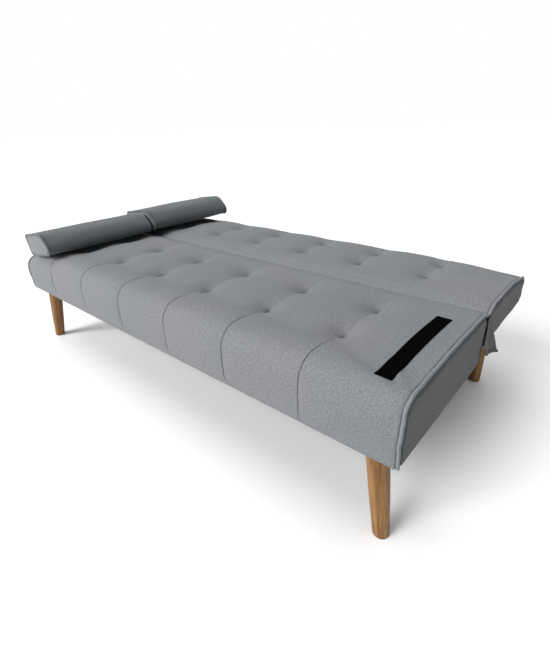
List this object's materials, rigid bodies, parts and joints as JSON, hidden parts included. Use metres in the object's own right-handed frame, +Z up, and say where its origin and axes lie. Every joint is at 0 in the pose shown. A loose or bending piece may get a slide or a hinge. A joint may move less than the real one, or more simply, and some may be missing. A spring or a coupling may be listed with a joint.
{
  "type": "click-clack futon sofa bed",
  "caption": "Three-seat click-clack sofa bed lying flat, with tufted grey linen seat and back, loose bolster pillows and splayed round wooden legs.",
  "frame": {"origin": "on the floor, under the centre of the bed's plan when it lies flat", "axes": "+X along the length, to the right seen from the front; +Y from the front to the rear; +Z up"},
  "size_m": [1.8, 0.9701, 0.5346],
  "materials": {
    "linen": "fine plain linen weave, mid grey",
    "piping": "the same cloth sewn round a cord",
    "pillow_linen": "fine linen weave, darker grey",
    "leg_wood": "oak-coloured satin lacquer",
    "frame_pine": "planed softwood",
    "spring_steel": "plain wire",
    "webbing": "woven elastic",
    "hinge_steel": "pressed steel plate",
    "zinc": "zinc plated",
    "hook_tape": "black hook tape",
    "dust_cover": "black felted sheet"
  },
  "bodies": {
    "seat": {"base_hinge_rail": "frame_pine", "base_rear_rail": "frame_pine", "base_side_rail_left": "frame_pine", "base_side_rail_right": "frame_pine", "hinge_gusset_left": "linen", "hinge_gusset_right": "linen", "hinge_pin_left": "zinc", "hinge_pin_right": "zinc", "hinge_seat_plate_left": "hinge_steel", "hinge_seat_plate_right": "hinge_steel", "hook_tape_left": "hook_tape", "hook_tape_right": "hook_tape", "leg_bolt_front_left": "zinc", "leg_bolt_front_right": "zinc", "leg_bolt_rear_left": "zinc", "leg_bolt_rear_right": "zinc", "leg_front_left": "leg_wood", "leg_front_right": "leg_wood", "leg_plate_front_left": "zinc", "leg_plate_front_right": "zinc", "leg_plate_rear_left": "zinc", "leg_plate_rear_right": "zinc", "leg_rear_left": "leg_wood", "leg_rear_right": "leg_wood", "seat_centre_rail": "frame_pine", "seat_cushion": "linen", "seat_dust_cover": "dust_cover", "seat_end_rail_left": "frame_pine", "seat_end_rail_right": "frame_pine", "seat_front_rail": "frame_pine", "seat_piping_left": "piping", "seat_piping_right": "piping", "seat_rear_rail": "frame_pine", "seat_side_cover_left": "linen", "seat_side_cover_right": "linen", "seat_spring_1": "spring_steel", "seat_spring_2": "spring_steel", "seat_spring_3": "spring_steel", "seat_spring_4": "spring_steel", "seat_spring_5": "spring_steel"},
    "back": {"back_centre_rail": "frame_pine", "back_cushion": "linen", "back_end_rail_left": "frame_pine", "back_end_rail_right": "frame_pine", "back_hinge_rail": "frame_pine", "back_piping_left": "piping", "back_piping_right": "piping", "back_rear_cover": "linen", "back_side_cover_left": "linen", "back_side_cover_right": "linen", "back_strap_1": "webbing", "back_strap_2": "webbing", "back_strap_3": "webbing", "back_top_rail": "frame_pine", "hinge_back_plate_left": "hinge_steel", "hinge_back_plate_right": "hinge_steel"},
    "pawl_left": {"recline_pawl_left": "hinge_steel"},
    "pawl_right": {"recline_pawl_right": "hinge_steel"},
    "front_pillow": {"pillow_front": "pillow_linen"},
    "rear_pillow": {"pillow_rear": "pillow_linen"}
  },
  "joints": [
    {"name": "back_recline", "type": "hinge", "parent": "seat", "child": "back", "pos_m": [0, 0.045, 0.39], "axis": [1, 0, 0], "range_deg": [0, 75], "deforming": ["hinge_gusset_left", "hinge_gusset_right"]},
    {"name": "pawl_left_click", "type": "hinge", "parent": "seat", "child": "pawl_left", "pos_m": [-0.87, 0.089, 0.318], "axis": [1, 0, 0], "range_deg": [-15, 0]},
    {"name": "pawl_right_click", "type": "hinge", "parent": "seat", "child": "pawl_right", "pos_m": [0.87, 0.089, 0.318], "axis": [1, 0, 0], "range_deg": [-15, 0]},
    {"name": "front_pillow_off", "type": "slide", "parent": "seat", "child": "front_pillow", "axis": [0.99, 0, 0.141], "range_m": [0, 0.3]},
    {"name": "rear_pillow_shift", "type": "slide", "parent": "back", "child": "rear_pillow", "axis": [0, 1, 0], "range_m": [0, 0.18]}
  ],
  "couplings": [
    {"joint": "rear_pillow_shift", "follows": "back_recline", "m_per_rad": 0.13}
  ]
}
